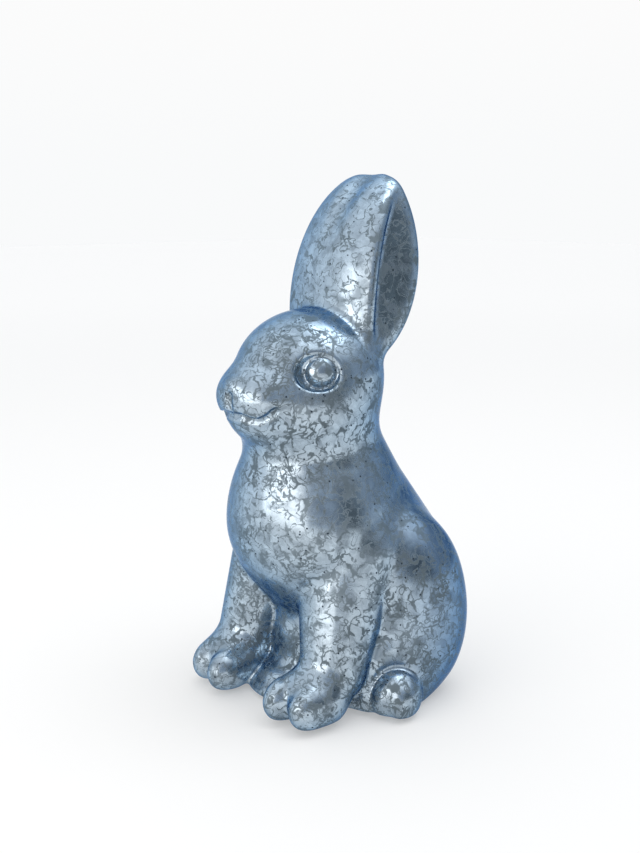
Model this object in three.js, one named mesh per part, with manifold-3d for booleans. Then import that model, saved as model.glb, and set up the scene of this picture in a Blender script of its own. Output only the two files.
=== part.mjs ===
// Sitting rabbit figurine in mould-blown, silvered glass.
// Millimetres, +Z up. The rabbit looks along -Y and its left side is +X.
// The origin is on the ground, under the middle of the figurine.

import * as THREE from "three";
import { mergeVertices } from "three/addons/utils/BufferGeometryUtils.js";
import Module from "manifold-3d";

const wasm = await Module();
wasm.setup();

// Glass
const WALL = 3;
const FLOOR_THICKNESS = 4;
const GROUND_EDGE_ROUND = 2;
const BLOW_HOLE_DIAMETER = 24;
const PUNT_DIAMETER = 40;
const PUNT_DEPTH = 3.4;

// Sizes that set the whole rabbit's width, length and height
const STANCE = 40;
const TAIL_REACH = 37.5;
const EAR_SEAT = 148.5;
const EAR_HEIGHT = 50.5;

// Torso masses: centres, radii and how softly they run into one another
const CHEST = { at: [0, -12, 66], radii: [34.5, 29, 31] };
const BACK = { from: [0, -4, 96], to: [0, 12.5, 45], radii: [18.5, 35.5] };
const BELLY = { at: [0, 4, 20], radii: [30, 27, 36] };
const NECK = { from: [0, -10.5, 84], to: [0, -11, 106], radii: [25.5, 20.5] };
const APRON = { at: [0, -16, 0], radii: [24, 19, 12] };
const HAUNCH = { at: [STANCE - 9.5, 15.5, 33], radii: [17.5, 22.8, 36], pitch: 8 };
const HIP = { at: [STANCE - 10, 0, 4], radii: [14, 15.5, 24] };
const TAIL = { at: [0, TAIL_REACH, 19], radii: [12.5, 11, 12.5] };
const TORSO_BLEND = 12;
const BELLY_CREASE = 4;
const HAUNCH_BLEND = 12;
const APRON_BLEND = 6;
const TAIL_CREASE = 5;

// Legs and feet, given for the left side. Each hind foot lies in a shallow hollow of the haunch.
const LEG = { from: [18.5, -7.5, 58], to: [25, -21.5, 17], radii: [19.5, 12.3] };
const PAW = { at: [24, -30, 8.5], radii: [13.5, 12.5, 11.5] };
const INNER_TOE = { at: [17, -37.2, 7.2], radii: [6.4, 10.3, 8.6] };
const OUTER_TOE = { at: [29.2, -35.6, 7.2], radii: [6.6, 10, 8.6] };
const HIND_FOOT = { at: [STANCE, -3.5, 6], radii: [9.5, 9.5, 10.5] };
const HIND_INNER_TOE = { at: [STANCE - 1, -8, 5], radii: [5, 5.6, 7.6] };
const HIND_OUTER_TOE = { at: [STANCE + 5.6, -5.4, 5], radii: [4, 5.6, 7.4] };
const FOOT_HOLLOW = { at: [STANCE + 7, -10.6, 10], radii: [10, 15.5, 19], yaw: -32 };
const LEG_CREASE = 2;
const PAW_BLEND = 4;
const TOE_CREASE = 1.6;
const FOOT_CREASE = 2;
const FOOT_HOLLOW_EDGE = 1.5;

// Head
const CRANIUM = { at: [0, -8, 122], radii: [26.5, 24, 24] };
const SNOUT = { from: [0, -19, 121], to: [0, -36, 117], radii: [22, 12.5] };
const CHEEK = { at: [12, -20, 112], radii: [13, 15, 12] };
const MUZZLE = { at: [7, -36.3, 117], radii: [9, 9.6, 8.5] };
const CHIN = { at: [0, -34, 108.3], radii: [12.5, 9.8, 7.5] };
const NOSE = { at: [0, -44.8, 121.2], radii: [5.8, 4.2, 4.2] };
const EYEBALL = { at: [17, -21, 126.2], radii: [6.6, 6.6, 6.6] };
const EYE_SOCKET = { at: [21.5, -26.1, 127], radii: [4.8, 8.2, 7], yaw: -30 };
const HEAD_BLEND = 10;
const NECK_BLEND = 11;
const MUZZLE_BLEND = 7;
const CHIN_BLEND = 6;
const MOUTH_CREASE = 1;
const NOSE_CREASE = 1.2;
const SOCKET_EDGE = 1.6;
const EYE_CREASE = 0.6;

// Ears, joined along their inner faces. Each has a hollow on its outer side that slopes in from both edges.
const EAR_FRONT = { at: [0, 22, EAR_SEAT], radii: [41.8, 28.5, EAR_HEIGHT - 1], pitch: -7.5 };
const EAR_BACK = { at: [0, -4.2, EAR_SEAT + 18.5], radii: [40, 34, EAR_HEIGHT - 4], pitch: 1.5 };
const EAR_SIDES = { at: [0, 15, EAR_SEAT - 0.5], radii: [24, 90, EAR_HEIGHT + 8.1] };
const EAR_FOLD = { from: [0, -11.5, EAR_SEAT + 20.5], to: [0, 17, EAR_SEAT + 53.5], radii: [1, 4.5] };
const EAR_FRONT_RIM = 1.2;
const EAR_FRONT_SLOPE = 0.51;
const EAR_BACK_RIM = 0.6;
const EAR_BACK_SLOPE = 0.39;
const EAR_EDGE = 3.5;
const EAR_FOLD_EDGE = 6;
const EAR_GROOVE = 1.5;
const EAR_HOLLOW_EDGE = 2;
const EAR_BLEND = 4;

// Stopper pushed into the blow hole from below
const STOPPER_LENGTH = 11;
const STOPPER_TAPER = 0.8;
const STOPPER_WALL = 1.8;
const FLANGE_DIAMETER = 31;
const FLANGE_THICKNESS = 1.4;

// Felt pads stuck under the paws and haunches
const PAD_DIAMETER = 11;
const PAD_THICKNESS = 0.9;
const REAR_PAD_INSET = 4;
const REAR_PAD_BACK = 5;

// Gap left where one piece seats on another
const SEAT_GAP = 0.3;

// Fineness of the facets
const OUTER_CELL = 2;
const INNER_CELL = 4;
const OUTER_TRIANGLES = 9000;
const INNER_TRIANGLES = 1600;
const ROUND_SEGMENTS = 40;
const BALL_SEGMENTS = 24;
const BALL_RINGS = 14;

// Distance fields: each function gives the distance from a point to a form, negative inside it.

const length3 = (x, y, z) => Math.sqrt(x * x + y * y + z * z);

/** A round or stretched ball, tipped about X and then turned about Z, in degrees. */
function ball({ at, radii, pitch = 0, yaw = 0 }) {
  const tip = THREE.MathUtils.degToRad(pitch);
  const turn = THREE.MathUtils.degToRad(yaw);
  const [cosTip, sinTip] = [Math.cos(tip), Math.sin(tip)];
  const [cosTurn, sinTurn] = [Math.cos(turn), Math.sin(turn)];
  const [rx, ry, rz] = radii;
  return (x, y, z) => {
    const dx = x - at[0];
    const dy = y - at[1];
    const dz = z - at[2];
    const along = cosTurn * dy - sinTurn * dx;
    const u = (cosTurn * dx + sinTurn * dy) / rx;
    const v = (cosTip * along + sinTip * dz) / ry;
    const w = (cosTip * dz - sinTip * along) / rz;
    const scale = length3(u, v, w);
    const slope = length3(u / rx, v / ry, w / rz);
    return slope > 0 ? (scale * (scale - 1)) / slope : -Math.min(rx, ry, rz);
  };
}

/** A limb: the hull of two balls of different radius. */
function limb({ from, to, radii }) {
  const [start, end] = [new THREE.Vector3(...from), new THREE.Vector3(...to)];
  const axis = end.clone().sub(start);
  const length = axis.length();
  axis.normalize();
  const [near, far] = radii;
  const sine = (near - far) / length;
  const cosine = Math.sqrt(1 - sine * sine);
  return (x, y, z) => {
    const dx = x - from[0];
    const dy = y - from[1];
    const dz = z - from[2];
    const along = dx * axis.x + dy * axis.y + dz * axis.z;
    const across = Math.sqrt(Math.max(dx * dx + dy * dy + dz * dz - along * along, 0));
    const foot = along * cosine - across * sine;
    if (foot < 0) return length3(across, along, 0) - near;
    if (foot > length * cosine) return length3(across, along - length, 0) - far;
    return across * cosine + along * sine - near;
  };
}

/** The lesser of two distances, rounded over the given width where they meet. */
function softMin(a, b, width) {
  const overlap = Math.max(width - Math.abs(a - b), 0) / width;
  return Math.min(a, b) - (overlap * overlap * width) / 4;
}

function merge(width, first, ...rest) {
  return (x, y, z) => {
    let distance = first(x, y, z);
    for (const form of rest) distance = softMin(distance, form(x, y, z), width);
    return distance;
  };
}

function common(width, first, ...rest) {
  return (x, y, z) => {
    let distance = first(x, y, z);
    for (const form of rest) distance = -softMin(-distance, -form(x, y, z), width);
    return distance;
  };
}

const carve = (width, form, tool) => (x, y, z) => -softMin(-form(x, y, z), tool(x, y, z), width);
const inset = (form, depth) => (x, y, z) => form(x, y, z) + depth;
const bothSides = (form) => (x, y, z) => form(Math.abs(x), y, z);

/** What lies between a face and a slope that sinks below it, starting a rim's width within a side. */
function lean(slope, face, side, rim) {
  const steepness = Math.hypot(slope, 1);
  return (x, y, z) => (slope * (side(x, y, z) + rim) - face(x, y, z)) / steepness;
}

function torsoForm() {
  const chest = merge(TORSO_BLEND, ball(CHEST), limb(BACK), limb(NECK));
  const trunk = merge(BELLY_CREASE, chest, ball(BELLY));
  const withApron = merge(APRON_BLEND, trunk, ball(APRON));
  const withHaunches = merge(HAUNCH_BLEND, withApron, bothSides(ball(HAUNCH)), bothSides(ball(HIP)));
  const torso = merge(TAIL_CREASE, withHaunches, ball(TAIL));
  return carve(FOOT_HOLLOW_EDGE, torso, bothSides(ball(FOOT_HOLLOW)));
}

function legForm() {
  const paw = merge(TOE_CREASE, ball(PAW), ball(INNER_TOE), ball(OUTER_TOE));
  return bothSides(merge(PAW_BLEND, limb(LEG), paw));
}

function hindFootForm() {
  return bothSides(merge(TOE_CREASE, ball(HIND_FOOT), ball(HIND_INNER_TOE), ball(HIND_OUTER_TOE)));
}

/** The skull with muzzle and chin: both run softly into it and meet each other in the mouth's crease. */
function headForm() {
  const skull = merge(HEAD_BLEND, ball(CRANIUM), limb(SNOUT), bothSides(ball(CHEEK)));
  const jaw = merge(CHIN_BLEND, skull, ball(CHIN));
  const muzzle = merge(MUZZLE_BLEND, skull, bothSides(ball(MUZZLE)));
  return merge(NOSE_CREASE, merge(MOUTH_CREASE, jaw, muzzle), ball(NOSE));
}

/** Both ears as one upright leaf, folded at the middle of its tip and hollowed from each side. */
function earForm() {
  const [front, back, sides] = [ball(EAR_FRONT), ball(EAR_BACK), ball(EAR_SIDES)];
  const leaf = common(EAR_EDGE, front, back, sides);
  const folded = carve(EAR_FOLD_EDGE, leaf, limb(EAR_FOLD));
  const flank = lean(EAR_FRONT_SLOPE, sides, front, EAR_FRONT_RIM);
  const floor = lean(EAR_BACK_SLOPE, sides, back, EAR_BACK_RIM);
  return carve(EAR_HOLLOW_EDGE, folded, common(EAR_GROOVE, flank, floor));
}

/** The whole rabbit without its eyes, standing on the plane z = 0. */
function rabbitForm() {
  const body = merge(FOOT_CREASE, merge(LEG_CREASE, torsoForm(), legForm()), hindFootForm());
  const withHead = merge(NECK_BLEND, body, headForm());
  const whole = merge(EAR_BLEND, withHead, earForm());
  return common(GROUND_EDGE_ROUND, whole, (x, y, z) => -z);
}

/** A form with the eyes in their sockets, as the glass follows them on its inside. */
function withEyes(form) {
  const socketed = carve(SOCKET_EDGE, form, bothSides(ball(EYE_SOCKET)));
  return merge(EYE_CREASE, socketed, bothSides(ball(EYEBALL)));
}

// Faceting: a field becomes a closed mesh of { points, faces }.

/** How fast a form's distance grows in x, y and z at a point. */
function slopeAt(form, { x, y, z }) {
  const probe = 0.02;
  const slope = new THREE.Vector3(form(x + probe, y, z), form(x, y + probe, z), form(x, y, z + probe));
  return slope.subScalar(form(x, y, z)).divideScalar(probe);
}

/** Moves a point onto the surface of a form along the steepest way. */
function drawOnto(form, point) {
  const [steps, leastSlope] = [2, 0.5];
  for (let step = 0; step < steps; step += 1) {
    const slope = slopeAt(form, point);
    const steepness = Math.max(slope.lengthSq(), leastSlope ** 2);
    point.addScaledVector(slope, -form(point.x, point.y, point.z) / steepness);
  }
}

/** The box round a form, found on a coarse grid and grown by one step of it. */
function roomFor(form) {
  const [step, reach] = [8, 320];
  const box = new THREE.Box3();
  for (let x = 0; x < reach / 2; x += step) {
    for (let y = -reach / 2; y < reach / 2; y += step) {
      for (let z = 0; z < reach; z += step) {
        if (form(x, y, z) < step) box.expandByPoint(new THREE.Vector3(x, y, z));
      }
    }
  }
  box.min.x = -box.max.x;
  return box.expandByScalar(step / 2);
}

// Six tetrahedra fill a grid cell. Corners are numbered by their x, y and z bits.
const [X_BIT, Y_BIT, Z_BIT] = [1, 2, 4];
const TETRAHEDRA = [[0, 1, 3, 7], [0, 3, 2, 7], [0, 2, 6, 7], [0, 6, 4, 7], [0, 4, 5, 7], [0, 5, 1, 7]];
const LONE_FIRST = [[0, 1, 2, 3], [1, 0, 3, 2], [2, 3, 0, 1], [3, 2, 1, 0]];
const PAIR_FIRST = [[0, 1, 2, 3], [0, 2, 3, 1], [0, 3, 1, 2], [1, 2, 0, 3], [1, 3, 2, 0], [2, 3, 0, 1]];

/** Marches through a grid of tetrahedra and keeps the surface where the form changes sign. */
function march(form, box, cell) {
  const counts = box.getSize(new THREE.Vector3()).divideScalar(cell).ceil().addScalar(1);
  const [nx, ny, nz] = counts.toArray();
  const layer = nx * ny;
  const total = layer * nz;
  const place = (index) => {
    const steps = new THREE.Vector3(index % nx, Math.floor(index / nx) % ny, Math.floor(index / layer));
    return steps.multiplyScalar(cell).add(box.min);
  };
  const cornerClearance = cell / 5;
  const values = Float64Array.from({ length: total }, (_, index) => {
    const distance = form(...place(index).toArray());
    return distance < 0 ? Math.min(distance, -cornerClearance) : Math.max(distance, cornerClearance);
  });
  const [points, faces, made] = [[], [], new Map()];
  const crossing = (a, b) => {
    const key = Math.min(a, b) * total + Math.max(a, b);
    if (!made.has(key)) {
      const share = values[a] / (values[a] - values[b]);
      made.set(key, points.push(place(a).lerp(place(b), share)) - 1);
    }
    return made.get(key);
  };
  const offset = (corner) => {
    const step = corner & X_BIT ? 1 : 0;
    const row = corner & Y_BIT ? nx : 0;
    return step + row + (corner & Z_BIT ? layer : 0);
  };
  for (let index = 0; index < total - layer; index += 1) {
    const atFarSide = index % nx === nx - 1 || Math.floor(index / nx) % ny === ny - 1;
    if (atFarSide) continue;
    for (const corners of TETRAHEDRA) {
      const tetra = corners.map((corner) => index + offset(corner));
      const inside = tetra.map((corner) => values[corner] < 0);
      const count = inside.filter(Boolean).length;
      if (count === 1 || count === 3) {
        const lone = inside.indexOf(count === 1);
        const [a, b, c, d] = LONE_FIRST[lone].map((corner) => tetra[corner]);
        const face = [crossing(a, b), crossing(a, c), crossing(a, d)];
        faces.push(count === 1 ? face : face.reverse());
      } else if (count === 2) {
        const order = PAIR_FIRST.find(([p, q]) => inside[p] && inside[q]);
        const [a, b, c, d] = order.map((corner) => tetra[corner]);
        const [ac, ad, bc, bd] = [crossing(a, c), crossing(a, d), crossing(b, c), crossing(b, d)];
        faces.push([ac, ad, bd], [ac, bd, bc]);
      }
    }
  }
  return { points, faces };
}

/** Keeps the largest of the separate bodies in a mesh. */
function mainBody({ points, faces }) {
  const parent = points.map((_, index) => index);
  const root = (index) => {
    while (parent[index] !== index) {
      parent[index] = parent[parent[index]];
      index = parent[index];
    }
    return index;
  };
  for (const [a, b, c] of faces) {
    parent[root(b)] = root(a);
    parent[root(c)] = root(a);
  }
  const sizes = new Map();
  for (const [a] of faces) sizes.set(root(a), (sizes.get(root(a)) ?? 0) + 1);
  const largest = [...sizes].sort((one, other) => other[1] - one[1])[0][0];
  return { points, faces: faces.filter(([a]) => root(a) === largest) };
}

const facetNormal = (p, q, r) => q.clone().sub(p).cross(r.clone().sub(p));

/** For each vertex, the summed squares of the distance to its facets' planes, as symmetric 4 x 4 forms. */
function planeSums(points, faces) {
  const sums = points.map(() => new Float64Array(10));
  for (const face of faces) {
    const [p, q, r] = face.map((index) => points[index]);
    const normal = facetNormal(p, q, r).normalize();
    const plane = [...normal.toArray(), -normal.dot(p)];
    let slot = 0;
    for (let row = 0; row < 4; row += 1) {
      for (let column = row; column < 4; column += 1) {
        for (const index of face) sums[index][slot] += plane[row] * plane[column];
        slot += 1;
      }
    }
  }
  return sums;
}

function planeError(sum, { x, y, z }) {
  const squares = sum[0] * x * x + sum[4] * y * y + sum[7] * z * z + sum[9];
  const products = sum[1] * x * y + sum[2] * x * z + sum[5] * y * z;
  return squares + 2 * (products + sum[3] * x + sum[6] * y + sum[8] * z);
}

/** The point near the middle of an edge that lies closest to all the planes summed at its ends. */
function bestPoint(sum, middle, length) {
  const leastSpread = 1e-4;
  const planes = new THREE.Matrix3(sum[0], sum[1], sum[2], sum[1], sum[4], sum[5], sum[2], sum[5], sum[7]);
  const size = sum[0] + sum[4] + sum[7];
  if (planes.determinant() < leastSpread * size ** 3) return middle;
  const point = new THREE.Vector3(-sum[3], -sum[6], -sum[8]).applyMatrix3(planes.invert());
  return point.distanceTo(middle) < length ? point : middle;
}

/** Every edge of a mesh, with the ones that shape it least first. */
function rankedEdges(points, faces, sums) {
  const lengthPenalty = 2e-4;
  const edges = [];
  for (const [a, b, c] of faces) {
    for (const [from, to] of [[a, b], [b, c], [c, a]]) {
      if (from > to) continue;
      const sum = sums[from].map((value, slot) => value + sums[to][slot]);
      const length = points[from].distanceTo(points[to]);
      const target = bestPoint(sum, points[from].clone().lerp(points[to], 0.5), length);
      const cost = planeError(sum, target) + lengthPenalty * length * length;
      edges.push({ from, to, target, sum, cost });
    }
  }
  return edges.sort((one, other) => one.cost - other.cost);
}

/** Merges the edges that shape a mesh least, pass by pass, until few enough facets are left. */
function thin(form, { points, faces }, limit) {
  const [leastArea, leastFacing, passShare] = [0.1, 0.4, 0.1];
  const normals = points.map((point) => slopeAt(form, point).normalize());
  const sums = planeSums(points, faces);
  let live = faces;
  let merged = 1;
  while (live.length > limit && merged > 0) {
    const around = points.map(() => []);
    for (const face of live) for (const index of face) around[index].push(face);
    const busy = new Uint8Array(points.length);
    const dropped = new Set();
    const most = Math.min((live.length - limit) / 2, live.length * passShare);
    merged = 0;
    for (const { from, to, target, sum } of rankedEdges(points, live, sums)) {
      if (merged >= most) break;
      if (busy[from] || busy[to]) continue;
      const [near, far] = [new Set(around[from].flat()), new Set(around[to].flat())];
      const shared = [...near].filter((index) => far.has(index));
      if (shared.length !== 4) continue;
      const spansEdge = (face) => face.includes(from) && face.includes(to);
      const kept = [...around[from], ...around[to]].filter((face) => !spansEdge(face));
      const facesOut = kept.every((face) => {
        const corners = face.map((index) => (index === from || index === to ? target : points[index]));
        const outward = face.reduce((normal, index) => normal.add(normals[index]), new THREE.Vector3());
        const normal = facetNormal(...corners);
        const area = normal.length() / 2;
        return area > leastArea && normal.dot(outward) > leastFacing * 2 * area * outward.length();
      });
      if (!facesOut) continue;
      points[from].copy(target);
      normals[from] = slopeAt(form, target).normalize();
      sums[from] = sum;
      for (const face of around[to]) {
        if (face.includes(from)) dropped.add(face);
        else face[face.indexOf(to)] = from;
      }
      for (const index of [...near, ...far]) busy[index] = 1;
      merged += 1;
    }
    live = live.filter((face) => !dropped.has(face));
  }
  return { points, faces: live };
}

function facet(form, cell, limit) {
  const rough = mainBody(march(form, roomFor(form), cell));
  rough.points.forEach((point) => drawOnto(form, point));
  return thin(form, rough, limit);
}

// Solids for joining and cutting

const TRIANGLE = 3;

function solidFromMesh({ points, faces }) {
  const vertProperties = Float32Array.from(points.flatMap((point) => point.toArray()));
  const triVerts = Uint32Array.from(faces.flat());
  return new wasm.Manifold(new wasm.Mesh({ numProp: 3, vertProperties, triVerts }));
}

function solidFromGeometry(geometry) {
  geometry.deleteAttribute("normal");
  geometry.deleteAttribute("uv");
  const { index, attributes } = mergeVertices(geometry);
  const points = [];
  for (let at = 0; at < attributes.position.count; at += 1) {
    points.push(new THREE.Vector3().fromBufferAttribute(attributes.position, at));
  }
  const faces = [];
  for (let at = 0; at < index.count; at += TRIANGLE) {
    const corners = Array.from({ length: TRIANGLE }, (_, corner) => index.getX(at + corner));
    if (new Set(corners).size === TRIANGLE) faces.push(corners);
  }
  return solidFromMesh({ points, faces });
}

/** A solid turned about Z. Its outline of [radius, height] pairs runs from axis to axis, lowest first. */
function turned(outline) {
  const profile = outline.map(([radius, height]) => new THREE.Vector2(radius, height));
  return solidFromGeometry(new THREE.LatheGeometry(profile, ROUND_SEGMENTS).rotateX(Math.PI / 2));
}

/** A round or stretched ball on the left side, with its mirror image on the right. */
function ballPair({ at, radii, yaw = 0 }) {
  const sphere = new THREE.SphereGeometry(1, BALL_SEGMENTS, BALL_RINGS);
  sphere.scale(...radii).rotateZ(THREE.MathUtils.degToRad(yaw)).translate(...at);
  const left = solidFromGeometry(sphere);
  return left.add(left.mirror([1, 0, 0]));
}

function geometryFromSolid(solid) {
  const { vertProperties, triVerts } = solid.getMesh();
  const geometry = new THREE.BufferGeometry();
  geometry.setAttribute("position", new THREE.BufferAttribute(vertProperties, 3));
  geometry.setIndex(new THREE.BufferAttribute(triVerts, 1));
  geometry.computeVertexNormals();
  return geometry;
}

// Pieces. Heights below are counted from the glass's flat underside.

const HOLE_RADIUS = BLOW_HOLE_DIAMETER / 2;
const PUNT_RADIUS = PUNT_DIAMETER / 2;

/** The blown shell: outer form with eyes, hollow inside, punt under it and blow hole through its floor. */
function glassBody() {
  const rabbit = rabbitForm();
  const insideFloor = PUNT_DEPTH + FLOOR_THICKNESS;
  const hollow = common(GROUND_EDGE_ROUND, inset(withEyes(rabbit), WALL), (x, y, z) => insideFloor - z);
  const blank = solidFromMesh(facet(rabbit, OUTER_CELL, OUTER_TRIANGLES));
  const outside = blank.subtract(ballPair(EYE_SOCKET)).add(ballPair(EYEBALL));
  const inside = solidFromMesh(facet(hollow, INNER_CELL, INNER_TRIANGLES));
  const punt = turned([
    [0, -PUNT_DEPTH],
    [PUNT_RADIUS, -PUNT_DEPTH],
    [PUNT_RADIUS, 0],
    [PUNT_RADIUS - PUNT_DEPTH, PUNT_DEPTH],
    [0, PUNT_DEPTH],
  ]);
  const holeTop = insideFloor + WALL;
  const hole = turned([[0, 0], [HOLE_RADIUS, 0], [HOLE_RADIUS, holeTop], [0, holeTop]]);
  return geometryFromSolid(outside.subtract(inside).subtract(punt).subtract(hole));
}

/** A hollow push-in stopper whose flange seats against the top of the punt. */
function baseStopper() {
  const flangeTop = PUNT_DEPTH - SEAT_GAP;
  const flangeUnder = flangeTop - FLANGE_THICKNESS;
  const plugRadius = HOLE_RADIUS - SEAT_GAP;
  const plugTop = flangeTop + STOPPER_LENGTH;
  const boreRadius = plugRadius - STOPPER_WALL;
  const boreTop = plugTop - STOPPER_WALL;
  return geometryFromSolid(turned([
    [0, boreTop],
    [boreRadius - STOPPER_TAPER, boreTop],
    [boreRadius, flangeUnder],
    [FLANGE_DIAMETER / 2, flangeUnder],
    [FLANGE_DIAMETER / 2, flangeTop],
    [plugRadius, flangeTop],
    [plugRadius - STOPPER_TAPER, plugTop],
    [0, plugTop],
  ]));
}

function feltPad() {
  const top = -SEAT_GAP;
  const under = top - PAD_THICKNESS;
  const radius = PAD_DIAMETER / 2;
  return geometryFromSolid(turned([[0, under], [radius, under], [radius, top], [0, top]]));
}

const SILVERED_GLASS = new THREE.MeshStandardMaterial({ color: 0x8fa9c2, roughness: 0.25, metalness: 0.9 });
const STOPPER_PLASTIC = new THREE.MeshStandardMaterial({ color: 0xd9dcdd, roughness: 0.6, metalness: 0 });
const FELT = new THREE.MeshStandardMaterial({ color: 0x33363b, roughness: 0.95, metalness: 0 });

function piece(name, geometry, material, [x, y] = [0, 0]) {
  const mesh = new THREE.Mesh(geometry, material);
  mesh.name = name;
  mesh.position.set(x, y, 0);
  return mesh;
}

const glass = piece("glass_body", glassBody(), SILVERED_GLASS);
const frontPadAt = [PAW.at[0], PAW.at[1]];
const rearPadAt = [HAUNCH.at[0] - REAR_PAD_INSET, HAUNCH.at[1] + REAR_PAD_BACK];

const rabbit = new THREE.Group();
rabbit.add(glass);
rabbit.add(piece("base_stopper", baseStopper(), STOPPER_PLASTIC));
for (const [end, [x, y]] of [["front", frontPadAt], ["rear", rearPadAt]]) {
  rabbit.add(piece(`${end}_left_pad`, feltPad(), FELT, [x, y]));
  rabbit.add(piece(`${end}_right_pad`, feltPad(), FELT, [-x, y]));
}
glass.geometry.computeBoundingBox();
const middle = glass.geometry.boundingBox.getCenter(new THREE.Vector3());
rabbit.position.set(-middle.x, -middle.y, PAD_THICKNESS + SEAT_GAP);

export default rabbit;
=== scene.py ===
"""Sitting rabbit figurine in silvered glass under a blue lacquer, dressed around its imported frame."""

import logging
import math
from dataclasses import dataclass
from enum import Enum
from typing import Callable

import bmesh
import bpy
import numpy as np
from mathutils import Matrix, Vector


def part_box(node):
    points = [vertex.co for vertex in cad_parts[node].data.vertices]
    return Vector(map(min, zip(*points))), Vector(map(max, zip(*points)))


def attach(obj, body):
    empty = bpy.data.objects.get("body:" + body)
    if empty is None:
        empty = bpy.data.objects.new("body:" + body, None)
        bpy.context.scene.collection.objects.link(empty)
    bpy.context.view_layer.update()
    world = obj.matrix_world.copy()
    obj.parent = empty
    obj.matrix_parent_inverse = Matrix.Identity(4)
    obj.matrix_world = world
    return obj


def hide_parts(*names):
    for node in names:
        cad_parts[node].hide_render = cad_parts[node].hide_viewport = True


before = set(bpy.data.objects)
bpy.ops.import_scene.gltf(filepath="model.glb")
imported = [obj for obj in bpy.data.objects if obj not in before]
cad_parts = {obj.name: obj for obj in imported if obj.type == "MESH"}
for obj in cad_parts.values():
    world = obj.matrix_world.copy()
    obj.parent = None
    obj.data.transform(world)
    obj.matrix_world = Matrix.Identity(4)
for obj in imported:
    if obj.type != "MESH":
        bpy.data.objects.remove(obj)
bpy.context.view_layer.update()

LOG = logging.getLogger("rabbit")
MM = 0.001

Array = np.ndarray
Pair = tuple[float, float]
Triple = tuple[float, float, float]
Form = Callable[[Array], Array]
Socket = bpy.types.NodeSocket
Outputs = bpy.types.bpy_prop_collection
Inputs = dict[int | str, object]


# Distance fields: a form takes rows of points in millimetres and gives each one's distance, negative inside


@dataclass(frozen=True)
class Ball:
    """A round or stretched ball, tipped about X and then turned about Z, in degrees."""

    at: Triple
    radii: Triple
    pitch: float = 0.0
    yaw: float = 0.0

    def turn(self) -> Array:
        """The rotation from the ball's own axes to the rabbit's."""
        turned = Matrix.Rotation(math.radians(self.yaw), 3, "Z") @ Matrix.Rotation(math.radians(self.pitch), 3, "X")
        return np.array(turned)

    def __call__(self, points: Array) -> Array:
        """Measures from the ball's surface.

        Args:
            points: Rows of points.

        Returns:
            The distance of each point.
        """
        least_slope = 1e-9
        own = (points - self.at) @ self.turn() / self.radii
        scale = np.linalg.norm(own, axis=1)
        slope = np.linalg.norm(own / self.radii, axis=1)
        return scale * (scale - 1.0) / np.maximum(slope, least_slope)


@dataclass(frozen=True)
class Limb:
    """The hull of two balls of different radius."""

    start: Triple
    end: Triple
    radii: Pair

    def __call__(self, points: Array) -> Array:
        """Measures from the limb's surface.

        Args:
            points: Rows of points.

        Returns:
            The distance of each point.
        """
        near, far = self.radii
        axis = np.subtract(self.end, self.start)
        length = np.linalg.norm(axis)
        axis = axis / length
        sine = (near - far) / length
        cosine = math.sqrt(1.0 - sine * sine)
        offset = points - self.start
        along = offset @ axis
        across = np.sqrt(np.maximum((offset**2).sum(axis=1) - along**2, 0.0))
        foot = along * cosine - across * sine
        side = across * cosine + along * sine - near
        at_start = np.hypot(across, along) - near
        at_end = np.hypot(across, along - length) - far
        return np.where(foot < 0.0, at_start, np.where(foot > length * cosine, at_end, side))


def soft_min(one: Array, other: Array, width: float) -> Array:
    """The lesser of two distances, rounded over a width where they meet.

    Args:
        one: Distances from the first form.
        other: Distances from the second form.
        width: How far from each other the two may be and still be rounded.

    Returns:
        The joined distances.
    """
    overlap = np.maximum(width - np.abs(one - other), 0.0) / width
    return np.minimum(one, other) - overlap * overlap * width / 4.0


def merge(width: float, *forms: Form) -> Form:
    """Forms joined into one.

    Args:
        width: How softly they run into one another.
        forms: The forms to join.

    Returns:
        The joined form.
    """

    def distance(points: Array) -> Array:
        """Measures from the joined form.

        Args:
            points: Rows of points.

        Returns:
            The distance of each point.
        """
        total = forms[0](points)
        for form in forms[1:]:
            total = soft_min(total, form(points), width)
        return total

    return distance


def carve(width: float, form: Form, tool: Form) -> Form:
    """A form with another taken out of it.

    Args:
        width: How softly the cut's edge is rounded.
        form: What is cut.
        tool: What is taken out.

    Returns:
        The cut form.
    """
    return lambda points: -soft_min(-form(points), tool(points), width)


def common(width: float, *forms: Form) -> Form:
    """What forms have in common.

    Args:
        width: How softly the edges between them are rounded.
        forms: The forms that overlap.

    Returns:
        The shared form.
    """
    outside = merge(width, *[lambda points, form=form: -form(points) for form in forms])
    return lambda points: -outside(points)


def both_sides(form: Form) -> Form:
    """A form given for the left side, repeated on the right."""
    return lambda points: form(np.column_stack((np.abs(points[:, 0]), points[:, 1:])))


def lean(slope: float, face: Form, side: Form, rim: float) -> Form:
    """What lies between a face and a slope that sinks below it, starting within a side.

    Args:
        slope: How far the slope sinks for each millimetre away from the side.
        face: The form whose face is hollowed.
        side: The form whose surface bounds the hollow.
        rim: How far from the side the slope starts.

    Returns:
        The form above the slope.
    """
    return lambda points: (slope * (side(points) + rim) - face(points)) / math.hypot(slope, 1.0)


def traced(form: Form, path: tuple[Triple, ...], parts: int = 4, steps: int = 8) -> list[Triple]:
    """A path divided finely and laid on a form's surface.

    Args:
        form: The form it lies on.
        path: The points it runs through.
        parts: How many parts each stretch is divided into.
        steps: How many times each point is moved towards the surface.

    Returns:
        The points on the surface.
    """
    shares = np.linspace(0.0, 1.0, parts, endpoint=False)
    ends = np.array(path, float)
    fine = [a + (b - a) * share for a, b in zip(ends, ends[1:]) for share in shares] + [ends[-1]]
    return [tuple(point) for point in drawn_onto(form, np.array(fine), steps)]


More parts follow.
